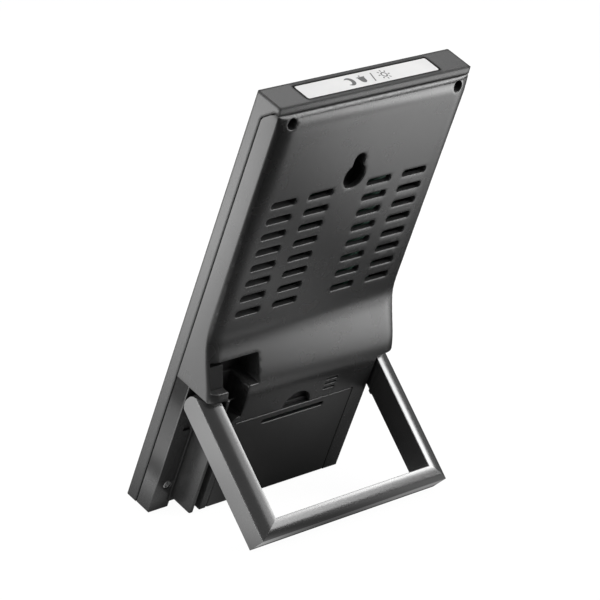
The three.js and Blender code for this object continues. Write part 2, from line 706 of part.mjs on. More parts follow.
function lookOf(name) {
  if (LOOKS[name]) return LOOKS[name];
  if (/screw|pin|spring|contact/.test(name)) return STEEL;
  if (/board/.test(name)) return BOARD;
  if (/cell/.test(name)) return SLEEVE;
  if (/setting_key/.test(name)) return BLACK;
  return DARK;
}

// ---------------------------------------------------------------- assembly

const parts = {
  front_frame: frontFrame(),
  rear_cover: rearCover(),
  battery_door: batteryDoor(),
  stand_bail: standBail(),
  ...standPins(),
  ...snoozeParts(),
  ...settingKeys(),
  ...displayParts(),
  ...electronics(),
  ...dcJack(),
  ...batteries(),
  ...caseScrews(),
};

// Lean the case back, then put the origin under the middle of the whole.
const lean = new THREE.Matrix4().makeRotationX(-LEAN);
const bounds = new THREE.Box3();
const geometries = new Map();
for (const [name, solid] of Object.entries(parts)) {
  const geometry = toGeometry(solid).applyMatrix4(lean);
  geometry.computeBoundingBox();
  bounds.union(geometry.boundingBox);
  geometries.set(name, geometry);
}
const middle = bounds.getCenter(new THREE.Vector3());

const group = new THREE.Group();
group.name = 'desk_weather_station';
for (const [name, geometry] of geometries) {
  geometry.translate(-middle.x, -middle.y, -bounds.min.z);
  const material = new THREE.MeshStandardMaterial(lookOf(name));
  material.name = name;
  const mesh = new THREE.Mesh(geometry, material);
  mesh.name = name;
  group.add(mesh);
}

export default group;
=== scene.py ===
"""Looks of a desk weather station on its bail stand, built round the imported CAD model.

The modelling code works in millimetres in the case frame: x across the case, y from the
display towards the back, z up along the case. CASE turns that into metres in the row frame.
"""

import json
import math

import bmesh
import bpy
import numpy as np
from mathutils import Matrix, Quaternion, Vector
from mathutils.geometry import delaunay_2d_cdt


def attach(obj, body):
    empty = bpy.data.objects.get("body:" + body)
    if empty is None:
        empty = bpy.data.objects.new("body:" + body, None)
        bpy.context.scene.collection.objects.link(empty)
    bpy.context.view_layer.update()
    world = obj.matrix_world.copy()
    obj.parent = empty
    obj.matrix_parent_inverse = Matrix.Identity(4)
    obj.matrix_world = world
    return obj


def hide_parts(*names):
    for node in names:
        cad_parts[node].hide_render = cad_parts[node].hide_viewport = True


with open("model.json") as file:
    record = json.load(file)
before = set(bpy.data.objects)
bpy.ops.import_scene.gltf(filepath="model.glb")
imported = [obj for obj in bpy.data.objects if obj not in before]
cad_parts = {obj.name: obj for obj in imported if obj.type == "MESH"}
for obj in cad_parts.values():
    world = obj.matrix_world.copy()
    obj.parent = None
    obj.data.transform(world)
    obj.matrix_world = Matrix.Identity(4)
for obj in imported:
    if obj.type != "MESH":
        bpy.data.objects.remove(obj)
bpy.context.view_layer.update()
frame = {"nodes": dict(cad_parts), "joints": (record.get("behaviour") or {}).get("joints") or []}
JOINTS = {joint["name"]: joint for joint in frame["joints"]}

# ---------------------------------------------------------------- driving dimensions, mm

HALF_W = 54.1
HEIGHT = 200.0
FRAME_DEPTH = 5.82
LIP_BOTTOM = 196.8
LIP_DEPTH = 13.95
COVER_FRONT = 6.25
COVER_TOP = 196.55
SIDE_DEPTH = 13.9
BACK_DEPTH = 17.0
SLAB_DEPTH = 14.05
BOX_DEPTH = 26.5
BOX_TAPER = 0.014
BOX_BOTTOM = 6.2
BOX_RIGHT = -43.0
BOX_LEFT = 38.0
SHOULDER = (33.4, 49.8, 4.6)
EAR_BOTTOM = 65.4
FIN_INNER, FIN_OUTER = 41.4, 43.0
CHANNEL_RIGHT = 32.8
WELL = (27.2, 53.0, 69.5, 81.5)
WELL_FLOOR = 13.0
DOOR = (-34.2, 34.2, 6.35, 50.9)
DOOR_THICK = 1.8
PIVOT = (19.4, 57.9)
STAND_OPEN = math.radians(60)
LEG_LENGTH = 61.0
LEG_WIDTH = 9.0
BAR_WIDTH = 7.0
LEG_FRONT = -5.0
LEG_BACK = 7.75
LEG_ROUND = 5.2
PIN_HOLE = 2.07
KEY_SPACING = 18.0
KEY_ROW = 20.0
SCREW_TOP = (47.2, 193.1)
SCREW_LOW = (47.4, 12.9)
SCREW_TOP_HEAD, SCREW_LOW_HEAD = 10.7, 13.8
KEY_TOP = 199.9
VENT_COLUMNS = (-37.3, -16.6, 16.6, 37.3)
VENT_ROWS = 8
VENT_FIRST, VENT_PITCH = 101.4, 7.54
VENT_HALF = (6.9, 1.6)
SOUND_SLOTS = (55.6, 58.1, 60.6)

BACKWARD = Vector(JOINTS["setting_press_3"]["axis"]).normalized()
UPWARD = Vector((0, -BACKWARD.z, BACKWARD.y))
HINGE = Vector(JOINTS["stand_hinge"]["pos_m"])
ORIGIN = HINGE - BACKWARD * PIVOT[0] / 1000 - UPWARD * PIVOT[1] / 1000
CASE = Matrix.Translation(ORIGIN) @ Matrix((
    (1, 0, 0, 0),
    (0, BACKWARD.y, UPWARD.y, 0),
    (0, BACKWARD.z, UPWARD.z, 0),
    (0, 0, 0, 1),
)) @ Matrix.Scale(0.001, 4)
STAND = CASE @ Matrix.Translation((0, *PIVOT)) @ Matrix.Rotation(STAND_OPEN, 4, "X")


# ---------------------------------------------------------------- node materials

# Painted shade: the colour and roughness that gaps and crevices are painted with.
CREVICE_SHADE_GREY, CREVICE_SHADE_ROUGH = 0.002, 0.85
# Painted shade: the colour and roughness that a narrow band along outer edges is painted with.
EDGE_SHADE_GREY, EDGE_SHADE_ROUGH = 0.004, 0.8


class Nodes:
    """Short calls for building a node tree."""

    def __init__(self, tree):
        self.tree = tree
        self.tree.nodes.clear()

    def add(self, kind, inputs=None, **settings):
        node = self.tree.nodes.new(kind)
        for key, value in settings.items():
            setattr(node, key, value)
        for key, value in (inputs or {}).items():
            if isinstance(value, bpy.types.NodeSocket):
                self.tree.links.new(value, node.inputs[key])
            else:
                node.inputs[key].default_value = value
        return node

    def noise(self, scale, detail=3.0, vector=None):
        if vector is None:
            vector = self.add("ShaderNodeTexCoord").outputs["Object"]
        inputs = {"Vector": vector, "Scale": scale, "Detail": detail}
        return self.add("ShaderNodeTexNoise", inputs).outputs["Fac"]

    def spread(self, value, low, high):
        """Maps the busy middle of a noise to low..high."""
        inputs = {"Value": value, "From Min": 0.3, "From Max": 0.7, "To Min": low, "To Max": high}
        return self.add("ShaderNodeMapRange", inputs).outputs["Result"]

    def share(self, value, none, full):
        """Goes from 0 to 1 as value goes from none to full, and stops there."""
        inputs = {"Value": value, "From Min": none, "From Max": full}
        return self.add("ShaderNodeMapRange", inputs).outputs["Result"]

    def mix(self, kind, factor, a, b):
        """Goes from a to b as factor goes from 0 to 1. kind is RGBA or FLOAT."""
        node = self.add("ShaderNodeMix", data_type=kind)
        sockets = [socket for socket in node.inputs if socket.enabled]
        for socket, value in zip(sockets, (factor, a, b)):
            if isinstance(value, bpy.types.NodeSocket):
                self.tree.links.new(value, socket)
            else:
                socket.default_value = (*value, 1) if kind == "RGBA" else value
        return node.outputs["Result"] if kind == "FLOAT" else node.outputs[2]


def surface(name, dark, light, rough, grain=0.3, relief=0.003, patch=22.0, soft_edge=0.0,
            cavity=0.0, edge_shade=0.0, **fixed):
    """Moulded or finished surface: a colour that drifts, an uneven gloss and a fine grain.

    grain and patch are sizes in mm, relief is the height of the grain in mm. soft_edge is
    the radius of its edges in mm. Gaps narrower than about cavity, in mm, get painted shade:
    their colour is painted near black and their gloss dulled. A band about edge_shade wide, in
    mm, along outer edges gets painted shade too: darker colour and a dull gloss.
    """
    material = bpy.data.materials.new(name)
    material.use_nodes = True
    n = Nodes(material.node_tree)
    drift = n.noise(1000 / patch, 4)
    fine = n.noise(1000 / grain, 2)
    colour = n.mix("RGBA", n.spread(drift, 0, 1), dark, light)
    gloss = n.spread(n.noise(2000 / patch, 3), rough[0], rough[1])
    # Painted shade in gaps: where the occlusion finds near surfaces, the colour is painted near
    # black and the gloss dulled.
    if cavity:
        reach = n.add("ShaderNodeAmbientOcclusion", {"Distance": cavity / 1000}, samples=6)
        open_share = n.share(reach.outputs["AO"], 0.35, 0.8)
        colour = n.mix("RGBA", open_share, grey(CREVICE_SHADE_GREY), colour)
        gloss = n.mix("FLOAT", open_share, CREVICE_SHADE_ROUGH, gloss)
    # Painted shade along outer edges: a narrow band is painted darker and duller, standing in for
    # the dark reflections that rounded edges catch.
    if edge_shade:
        inside = n.add("ShaderNodeAmbientOcclusion", {"Distance": edge_shade / 1000}, samples=8,
                       inside=True)
        flat = n.share(inside.outputs["AO"], 0.55, 0.9)
        colour = n.mix("RGBA", flat, grey(EDGE_SHADE_GREY), colour)
        gloss = n.mix("FLOAT", flat, EDGE_SHADE_ROUGH, gloss)
    bump_inputs = {"Height": fine, "Strength": 0.5, "Distance": relief / 1000}
    if soft_edge:
        bevel = n.add("ShaderNodeBevel", {"Radius": soft_edge / 1000}, samples=4)
        bump_inputs["Normal"] = bevel.outputs["Normal"]
    bump = n.add("ShaderNodeBump", bump_inputs)
    inputs = {"Base Color": colour, "Roughness": gloss, "Normal": bump.outputs["Normal"], **fixed}
    shader = n.add("ShaderNodeBsdfPrincipled", inputs)
    n.add("ShaderNodeOutputMaterial", {"Surface": shader.outputs["BSDF"]})
    return material


def grey(value, warm=0.0):
    return (value * (1 + warm), value, value * (1 - warm))


# Materials with a cavity get painted shade in their gaps; black_frame also gets painted shade along
# its edges.
BLACK_BACK = surface("black_back", grey(0.015), grey(0.018), (0.26, 0.28), soft_edge=0.15, cavity=8)
BLACK_FRAME = surface("black_frame", grey(0.015), grey(0.018), (0.26, 0.28), cavity=1, edge_shade=1.5)
BLACK_DOOR = surface("black_door", grey(0.013), grey(0.016), (0.28, 0.31), soft_edge=0.3,
                     cavity=0.4)
# Same black plastic as the cover, painted darker and duller as shade, for floors, walls and inner
# parts that sit in shadow.
BLACK_SHADED = surface("black_shaded", grey(0.003), grey(0.005), (0.6, 0.7), grain=0.5, cavity=4)
BAIL_GREY = surface("bail_grey", grey(0.017), grey(0.021), (0.20, 0.23), cavity=3, soft_edge=0.2,
                    **{"Specular IOR Level": 1.0})
SOCKET = surface("socket", grey(0.004), grey(0.006), (0.5, 0.6), grain=0.5, cavity=4,
                 **{"Specular IOR Level": 0.15})
KEY_WHITE = surface("key_white", grey(0.55, 0.004), grey(0.61, 0.004), (0.38, 0.48), grain=0.4,
                    cavity=4)
KEY_BLACK = surface("key_black", grey(0.020), grey(0.030), (0.38, 0.46))
MARK_GREY = surface("mark_grey", grey(0.07), grey(0.10), (0.5, 0.6), grain=0.3)
LENS = surface("lens", grey(0.006), grey(0.009), (0.05, 0.08), relief=0.001)
LCD = surface("lcd", (0.11, 0.13, 0.115), (0.14, 0.16, 0.14), (0.12, 0.18), relief=0.002)
GUIDE = surface("guide", grey(0.020), grey(0.030), (0.35, 0.45))
LAMPS = surface("lamps", (0.85, 0.78, 0.55), (0.92, 0.88, 0.70), (0.4, 0.5))
ELASTOMER = surface("elastomer", (0.50, 0.34, 0.31), (0.62, 0.45, 0.41), (0.6, 0.75), grain=0.6)
RIBBON = surface("ribbon", (0.42, 0.18, 0.04), (0.55, 0.27, 0.07), (0.25, 0.35))
BOARD = surface("board", (0.012, 0.075, 0.045), (0.020, 0.105, 0.062), (0.3, 0.45), patch=6)
CHIP = surface("chip", grey(0.012), grey(0.020), (0.45, 0.55), grain=0.4)
FERRITE = surface("ferrite", grey(0.035), grey(0.060), (0.55, 0.7), grain=0.7, relief=0.03)
COPPER = surface("copper", (0.50, 0.20, 0.07), (0.62, 0.28, 0.11), (0.25, 0.4), Metallic=0.9)
STEEL = surface("steel", grey(0.42), grey(0.55), (0.22, 0.38), grain=0.5, patch=3, Metallic=1.0)
SCREW = surface("screw", grey(0.52), grey(0.68), (0.18, 0.3), grain=0.5, patch=2, Metallic=1.0)
NICKEL = surface("nickel", grey(0.55, 0.02), grey(0.68, 0.02), (0.15, 0.28), patch=4, Metallic=1.0)
SLEEVE = surface("sleeve", (0.006, 0.045, 0.030), (0.010, 0.065, 0.042), (0.22, 0.32), patch=9)


# ---------------------------------------------------------------- outlines, in mm

def arc(cx, cz, radius, start, end, steps):
    """Points on an arc, angles in degrees."""
    angles = np.radians(np.linspace(start, end, steps + 1))
    return [(cx + radius * math.cos(a), cz + radius * math.sin(a)) for a in angles]


def circle(cx, cz, radius, sides=32):
    return arc(cx, cz, radius, 0, 360, sides)[:-1]


def rounded(corners, steps=5):
    """Closed outline of straight sides with each (a, b, radius) corner rounded."""
    points = []
    for i, (a, b, radius) in enumerate(corners):
        corner = Vector((a, b))
        before = Vector(corners[i - 1][:2]) - corner
        after = Vector(corners[(i + 1) % len(corners)][:2]) - corner
        if radius < 0.01:
            points.append((a, b))
            continue
        before.normalize()
        after.normalize()
        half = before.angle(after) / 2
        start = corner + before * radius / math.tan(half)
        end = corner + after * radius / math.tan(half)
        centre = corner + (before + after).normalized() * radius / math.sin(half)
        for k in range(steps + 1):
            direction = (start - centre).lerp(end - centre, k / steps)
            points.append(tuple(centre + direction.normalized() * radius))
    return points


def rounded_rect(x0, x1, z0, z1, radius, steps=5):
    corners = [(x0, z0, radius), (x1, z0, radius), (x1, z1, radius), (x0, z1, radius)]
    return rounded(corners, steps)


def bezier(p0, p1, p2, p3, steps):
    """Points on a cubic curve, without its last point."""
    points = []
    for t in np.linspace(0, 1, steps, endpoint=False):
        weights = ((1 - t) ** 3, 3 * t * (1 - t) ** 2, 3 * t * t * (1 - t), t ** 3)
        points.append(tuple(sum(w * p[i] for w, p in zip(weights, (p0, p1, p2, p3)))
                            for i in (0, 1)))
    return points


# ---------------------------------------------------------------- mesh helpers

def finish_piece(name, mesh, material, body, to_row=CASE, replaces=()):
    """Puts a mesh in millimetres into the row frame as a piece on its body."""
    mesh.transform(to_row)
    mesh.materials.clear()
    mesh.materials.append(material)
    piece = bpy.data.objects.new(name, mesh)
    bpy.context.scene.collection.objects.link(piece)
    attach(piece, body)
    if replaces:
        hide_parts(*replaces)
    return piece


def prism(points, axis, low, high):
    """Straight prism on an outline in the plane across axis, from low to high along it."""
    place = {
        "x": lambda a, b, h: (h, a, b),
        "y": lambda a, b, h: (a, h, b),
        "z": lambda a, b, h: (a, b, h),
    }[axis]
    bm = bmesh.new()
    start = [bm.verts.new(place(a, b, low)) for a, b in points]
    end = [bm.verts.new(place(a, b, high)) for a, b in points]
    bm.faces.new(start)
    bm.faces.new(reversed(end))
    for i in range(len(points)):
        bm.faces.new((start[i], start[i - 1], end[i - 1], end[i]))
    bmesh.ops.recalc_face_normals(bm, faces=bm.faces)
    mesh = bpy.data.meshes.new("prism")
    bm.to_mesh(mesh)
    bm.free()
    return mesh


def block(x0, x1, y0, y1, z0, z1):
    return prism([(x0, z0), (x1, z0), (x1, z1), (x0, z1)], "y", y0, y1)


def rod(axis, a, b, radius, low, high, sides=32):
    return prism(circle(a, b, radius, sides), axis, low, high)


def combine(base, add=(), cut=(), keep=()):
    """Mesh of base with some meshes joined on, cut away, or used as the limits to keep."""
    body = bpy.data.objects.new("combine", base)
    bpy.context.scene.collection.objects.link(body)
    tools = []
    for kind, meshes in (("UNION", add), ("INTERSECT", keep), ("DIFFERENCE", cut)):
        for mesh in meshes:
            tool = bpy.data.objects.new("tool", mesh)
            bpy.context.scene.collection.objects.link(tool)
            tools.append(tool)
            modifier = body.modifiers.new(kind, "BOOLEAN")
            modifier.operation = kind
            modifier.solver = "EXACT"
            modifier.object = tool
    bpy.context.view_layer.update()
    evaluated = body.evaluated_get(bpy.context.evaluated_depsgraph_get())
    result = bpy.data.meshes.new_from_object(evaluated)
    for used in (body, *tools):
        bpy.data.objects.remove(used)
    return result


def solid(name, mesh, material, body, bevel=0.4, segments=3, replaces=(), to_row=CASE):
    """Piece with its hard edges rounded. bevel is a radius in mm, or a function that gives
    the radius from the middle of an edge."""
    radius_at = bevel if callable(bevel) else lambda middle: bevel
    bm = bmesh.new()
    bm.from_mesh(mesh)
    bmesh.ops.dissolve_limit(bm, angle_limit=math.radians(0.3), verts=bm.verts, edges=bm.edges)
    weight = bm.edges.layers.float.new("bevel_weight_edge")
    radii = {}
    for edge in bm.edges:
        if len(edge.link_faces) == 2 and edge.calc_face_angle() > math.radians(28):
            radii[edge] = radius_at((edge.verts[0].co + edge.verts[1].co) / 2)
    widest = max(radii.values(), default=0) or 0.01
    for edge, radius in radii.items():
        edge[weight] = radius / widest
    for face in bm.faces:
        face.smooth = True
    bm.to_mesh(mesh)
    bm.free()
    piece = finish_piece(name, mesh, material, body, to_row, replaces)
    rounding = piece.modifiers.new("rounding", "BEVEL")
    rounding.width = widest / 1000
    rounding.segments = segments
    rounding.limit_method = "WEIGHT"
    shading = piece.modifiers.new("shading", "WEIGHTED_NORMAL")
    shading.keep_sharp = True
    return piece


# ---------------------------------------------------------------- sheet with rounded openings

def subdivide(loop, step):
    """Closed loop with no side longer than step."""
    points = []
    for i, here in enumerate(loop):
        there = loop[(i + 1) % len(loop)]
        parts = max(1, math.ceil(math.dist(here, there) / step))
        for k in range(parts):
            t = k / parts
            points.append((here[0] + (there[0] - here[0]) * t, here[1] + (there[1] - here[1]) * t))
    return np.array(points)


def inward(loop):
    """Mitred direction into the area on the left of a closed loop, one for each point."""
    ahead = np.roll(loop, -1, 0) - loop
    ahead /= np.linalg.norm(ahead, axis=1)[:, None]
    left = np.stack([-ahead[:, 1], ahead[:, 0]], 1)
    both = left + np.roll(left, 1, 0)
    return 2 * both / (both ** 2).sum(1)[:, None]


def is_inside(loop, points):
    inside = np.zeros(len(points), bool)
    for (ax, az), (bx, bz) in zip(loop, np.roll(loop, -1, 0)):
        if az == bz:
            continue
        crosses = (az > points[:, 1]) != (bz > points[:, 1])
        inside ^= crosses & (points[:, 0] < ax + (bx - ax) * (points[:, 1] - az) / (bz - az))
    return inside


def slope_normals(depth, points):
    """Unit normals, as (x, y, z), of the surface y = depth(x, z)."""
    e = 0.02
    dx = (depth(points[:, 0] + e, points[:, 1]) - depth(points[:, 0] - e, points[:, 1])) / (2 * e)
    dz = (depth(points[:, 0], points[:, 1] + e) - depth(points[:, 0], points[:, 1] - e)) / (2 * e)
    normals = np.stack([-dx, np.ones(len(points)), -dz], 1)
    return normals / np.linalg.norm(normals, axis=1)[:, None]


def sheet(outline, holes, depth, wall_end, fillets, grid, step):
    """Mesh of the surface y = depth(x, z) inside an outline and outside its holes.

    Every edge is rounded over and then runs down as a wall to wall_end(x, z, y). The
    outline runs with the sheet on its left, the holes likewise. fillets are the radii.
    """
    positions, normals, faces, limits = [], [], [], []
    count = 0
    for loop, radius in zip([outline, *holes], fillets):
        edge = subdivide(loop, step)
        start = edge + inward(edge) * radius
        limits.append(start)
        out = edge - start
        outward = out / np.linalg.norm(out, axis=1)[:, None]
        outward = np.stack([outward[:, 0], np.zeros(len(edge)), outward[:, 1]], 1)
        up = slope_normals(depth, start)
        for turn in np.radians([0, 30, 60, 90]):
            at = start + out * math.sin(turn)
            y = depth(at[:, 0], at[:, 1]) - radius * (1 - math.cos(turn))
            normal = up * math.cos(turn) + outward * math.sin(turn)
            positions.append(np.stack([at[:, 0], y, at[:, 1]], 1))
            normals.append(normal / np.linalg.norm(normal, axis=1)[:, None])
        y_end = np.array([wall_end(x, z, w) for (x, z), w in zip(edge, y)])
        positions.append(np.stack([edge[:, 0], np.minimum(y_end, y), edge[:, 1]], 1))
        normals.append(outward)
        size = len(edge)
        for ring in range(4):
            for i in range(size):
                j = (i + 1) % size
                a = count + ring * size
                faces.append((a + i, a + j, a + size + j, a + size + i))
        count += 5 * size
    inner = is_inside(limits[0], grid)
    for limit in limits[1:]:
        inner &= ~is_inside(limit, grid)
    border = np.concatenate(limits)
    near = np.array([((border - p) ** 2).sum(1).min() for p in grid[inner]])
    free = grid[inner][near > (0.42 * step) ** 2]
    points = np.concatenate([border, free])
    edges, first = [], 0
    for limit in limits:
        size = len(limit)
        edges += [(first + i, first + (i + 1) % size) for i in range(size)]
        first += size
    flat, _, triangles, *_ = delaunay_2d_cdt([Vector(p) for p in points], edges, [], 0, 1e-5)
    flat = np.array([tuple(p) for p in flat])
    middles = np.array([flat[list(t)].mean(0) for t in triangles])
    wanted = is_inside(limits[0], middles)
    for limit in limits[1:]:
        wanted &= ~is_inside(limit, middles)
    positions.append(np.stack([flat[:, 0], depth(flat[:, 0], flat[:, 1]), flat[:, 1]], 1))
    normals.append(slope_normals(depth, flat))
    faces += [tuple(count + v for v in t) for t, ok in zip(triangles, wanted) if ok]
    return weld(np.concatenate(positions), np.concatenate(normals), faces)


def weld(positions, normals, faces):
    """Mesh with equal points joined and every face turned to its points' normals."""
    _, first, same = np.unique(np.round(positions, 3), axis=0, return_index=True,
                               return_inverse=True)
    same = same.ravel()
    positions, normals = positions[first], normals[first]
    turned = []
    for face in faces:
        ring = []
        for v in face:
            if not ring or same[v] != ring[-1]:
                ring.append(int(same[v]))
        if ring[0] == ring[-1]:
            ring.pop()
        if len(ring) < 3:
            continue
        a, b, c = positions[ring[0]], positions[ring[1]], positions[ring[2]]
        if np.dot(np.cross(b - a, c - a), normals[ring].sum(0)) < 0:
            ring.reverse()
        turned.append(ring)
    mesh = bpy.data.meshes.new("sheet")
    mesh.from_pydata(positions.tolist(), [], turned)
    mesh.validate()
    bm = bmesh.new()
    bm.from_mesh(mesh)
    bmesh.ops.delete(bm, geom=[v for v in bm.verts if not v.link_faces], context="VERTS")
    for face in bm.faces:
        face.smooth = True
    bm.to_mesh(mesh)
    bm.free()
    return mesh


# ---------------------------------------------------------------- shape of the back

def softened(table, sigma=1.5):
    """Smooth function through a table of (z, depth) points."""
    step = 0.2
    z = np.arange(table[0][0] - 20, table[-1][0] + 120, step)
    values = np.interp(z, [p[0] for p in table], [p[1] for p in table])
    kernel = np.exp(-0.5 * (np.arange(-6 * sigma, 6 * sigma + step, step) / sigma) ** 2)
    kernel /= kernel.sum()
    padded = np.pad(values, len(kernel) // 2, mode="edge")
    smooth = np.convolve(padded, kernel, mode="valid")[:len(z)]
    return lambda at: np.interp(at, z, smooth)


side_depth = softened([(60, 26.3), (65.4, 24.15), (67, 23.7), (72.2, 21.6), (79, 18.4),
                       (82.4, 17.0), (85.7, 15.8), (89.9, 14.7), (94.3, 14.05),
                       (98, SIDE_DEPTH)])
middle_depth = softened([(0, 26.41), (60, 27.25), (62, 27.32), (64, 27.35), (66, 27.2),
                         (68, 26.8), (70, 26.25), (72, 25.5), (74, 24.6), (78, 22.6),
                         (82, 20.55), (84, 19.5), (86, 18.5), (88, 17.65), (90, 17.15),
                         (92, 17.0), (94, BACK_DEPTH)])


def rise(distance, width):
    """Share of the rise from the edge of the back: a tight round, then a gentle slope."""
    near = 1 - np.clip(distance / 1.3, 0, 1)
    far = 1 - np.clip(distance / width, 0, 1)
    return 0.36 * np.sqrt(1 - near * near) + 0.64 * (1 - far ** 2.2)


def back_depth(x, z):
    low = side_depth(z)
    width = np.interp(z, [84, 92], [6, 9])
    share = rise(HALF_W - np.abs(x), width) * rise(COVER_TOP - z, 9)
    return low + (middle_depth(z) - low) * share


def box_depth(z):
    return BOX_DEPTH + BOX_TAPER * (z - BOX_BOTTOM)


def back_grid():
    """Points inside the back, closer together where it bends."""
    rim = [0.3, 0.55, 0.85, 1.2, 1.6, 2.1, 2.8, 3.7, 4.7, 5.8, 7.0, 8.4]
    wide = np.arange(-44, 44.1, 1.6)
    xs = np.concatenate([[-HALF_W + d for d in rim], wide, [HALF_W - d for d in rim]])
    low = np.concatenate([np.arange(7, 60, 3.0), np.arange(60, 98, 1.0)])
    high = np.concatenate([np.arange(98, 187, 1.6), [COVER_TOP - d for d in rim]])
    zs = np.concatenate([low, high])
    gx, gz = np.meshgrid(xs, zs)
    return np.stack([gx.ravel(), gz.ravel()], 1)


def back_outline():
    """Whole edge of the back: the rim, the ears, the socket well and channel, and the door."""
    x0, x1, z0, z1 = WELL
    sx, sz, sr = SHOULDER
    door = DOOR[1] + 0.3
    top = DOOR[3] + 0.3
    moon = [(8 * math.cos(a), top + 7 * math.sin(a)) for a in np.linspace(0, math.pi, 15)]
    return [
        *rounded([(HALF_W, EAR_BOTTOM, 0.5), (HALF_W, COVER_TOP, 0.4), (-HALF_W, COVER_TOP, 0.4),
                  (-HALF_W, EAR_BOTTOM, 0.5)], 3),
        (BOX_RIGHT, EAR_BOTTOM),
        (BOX_RIGHT, BOX_BOTTOM),
        (-door, BOX_BOTTOM),
        (-door, top),
        *reversed(moon),
        (door, top),
        (door, BOX_BOTTOM),
        (BOX_LEFT, BOX_BOTTOM),
        *arc(sx, sz, sr, 0, 90, 8),
        (CHANNEL_RIGHT, sz + sr),
        *rounded([(CHANNEL_RIGHT, z0, 0), (x0, z0, 0.5), (x0, z1, 0.9), (x1, z1, 0.9),
                  (x1, z0, 0.5), (44.2, z0, 0.6), (44.2, EAR_BOTTOM, 0.8)], 4),
    ]


def back_wall_end(x, z, y):
    """Depth that the wall under an edge of the back runs down to."""
    if z > COVER_TOP - 0.5:
        return 12.8 if abs(x) < 40.5 else 11.9
    if abs(x) > HALF_W - 0.5:
        return max(COVER_FRONT, z - 184.75)
    if abs(x) < 9 and 150 < z < 175:
        return y - 2
    if x > 27 and z > 65.5:
        return WELL_FLOOR if z > WELL[2] - 0.1 else 14.6
    if abs(x) < 34.6 and z < 51.3:
        return box_depth(z) - DOOR_THICK - 0.3
    if abs(x) < 9 and z < 60:
        return 24.0
    if z < 66 and (x > 32 or abs(x) > 42.9 or z < 6.3):
        return SLAB_DEPTH - 0.1
    if 190 < z and abs(x) > 40:
        return 9.1
    return y - 2


def rear_shell():
    wide, tall = VENT_HALF
    vents = []
    for x in VENT_COLUMNS:
        for row in range(VENT_ROWS):
            z = VENT_FIRST + row * VENT_PITCH
            vents.append(rounded_rect(x - wide, x + wide, z - tall, z + tall, 1.5, 6))
    keyhole = [*arc(-0.2, 159.6, 5.8, 122.3, 417.7, 32), *arc(-0.2, 167.5, 3.1, 0, 180, 12)]
    slots = [rounded_rect(-21.3, -14.4, z - 0.55, z + 0.55, 0.4, 3) for z in SOUND_SLOTS]
    screws = [circle(side * SCREW_TOP[0], SCREW_TOP[1], 2.35, 28) for side in (-1, 1)]
    holes = [hole[::-1] for hole in (*vents, keyhole, *slots, *screws)]
    fillets = [0.25] + [0.35] * 32 + [0.4] + [0.2] * 3 + [0.35] * 2
    mesh = sheet(back_outline(), holes, back_depth, back_wall_end, fillets, back_grid(), 1.5)
    return finish_piece("rear_shell", mesh, BLACK_BACK, "case",
                        replaces=["rear_cover"])


# ---------------------------------------------------------------- rest of the rear cover

def under_back(thickness):
    """Everything in front of the sloping back of the battery box, less a thickness."""
    return prism([(0, -10), (box_depth(-10) - thickness, -10), (box_depth(70) - thickness, 70),
                  (0, 70)], "x", -60, 60)


def rear_slab():
    wide = HALF_W - 0.01
    tools = [block(-43, 43, 0, 30, -1, 2.85), block(-52, 52, 5, 12.05, 4.85, 66)]
    for side in (-1, 1):
        x, z = side * SCREW_LOW[0], SCREW_LOW[1]
        near, far = sorted((side * 44.8, side * 49.2))
        tools.append(rod("y", x, z, 2.3, 11.2, 20))
        tools.append(block(near, far, 13.1, 20, 41.6, 46.8))
    slab = combine(block(-wide, wide, COVER_FRONT, SLAB_DEPTH, 0, 67), cut=tools)

    def radius(middle):
        if middle.z > 66.5 or (middle.y > 12.5 and abs(middle.x) < 44.7 and middle.z > 3):
            return 0
        if middle.y < 6.5:
            return 0.2
        return 0.5 if abs(middle.x) > 53 else 0.25

    return solid("rear_slab", slab, BLACK_BACK, "case", bevel=radius)


def battery_tray():
    """The walls of the battery bay and the ledge under its door."""
    tray = combine(
        block(BOX_RIGHT + 0.02, BOX_LEFT - 0.02, 8, 30, BOX_BOTTOM + 0.02, 52.5),
        keep=[under_back(DOOR_THICK + 0.25)],
        cut=[block(-29, 29, 9.7, 30, 7.6, 50.4), block(32, 45, 0, 30, 45, 55)],
    )
    return solid("battery_tray", tray, BLACK_SHADED, "case", bevel=0.3)


def cover_blocks():
    """Floors of the well, the channel, the half-moon and the hook pocket, and the fin."""
    x0, x1, z0, z1 = WELL
    floors = combine(block(x0 - 1.6, x1 + 0.7, 11.4, WELL_FLOOR, 64, z1 + 1.6))
    solid("well_floor", floors, BLACK_SHADED, "case", bevel=0.2)
    channel = block(CHANNEL_RIGHT - 1.7, 44.6, 11.4, 14.62, 4.1, z0)
    solid("channel_floor", channel, BLACK_SHADED, "case", bevel=0.2)
    moon = block(-10.5, 10.5, 22.4, 24.0, 49, 60.5)
    solid("moon_floor", moon, BLACK_SHADED, "case", bevel=0.2)
    hanger = combine(block(-7.6, 7.6, 9.9, 15.05, 152, 172.4),
                     cut=[block(-6.4, 6.4, 11.1, 20, 153.2, 171.2)])
    solid("hook_pocket", hanger, BLACK_SHADED, "case", bevel=0.3)
    outline = rounded([(13.5, 5.2, 0), (26.3, 5.2, 1.0), (26.3, 64.4, 0.6), (13.5, 64.4, 0)], 4)
    fin = prism(outline, "x", FIN_INNER, FIN_OUTER)
    solid("channel_fin", fin, BLACK_BACK, "case", bevel=0.3)
    for side, (low, high) in ((1, (FIN_INNER, 44.7)), (-1, (-44.7, BOX_RIGHT + 1))):
        boss = rod("x", *PIVOT, 4.2, low, high)
        solid(f"hinge_boss_{'left' if side > 0 else 'right'}", boss, BLACK_BACK, "case",
              bevel=0.3)


# ---------------------------------------------------------------- front frame and window

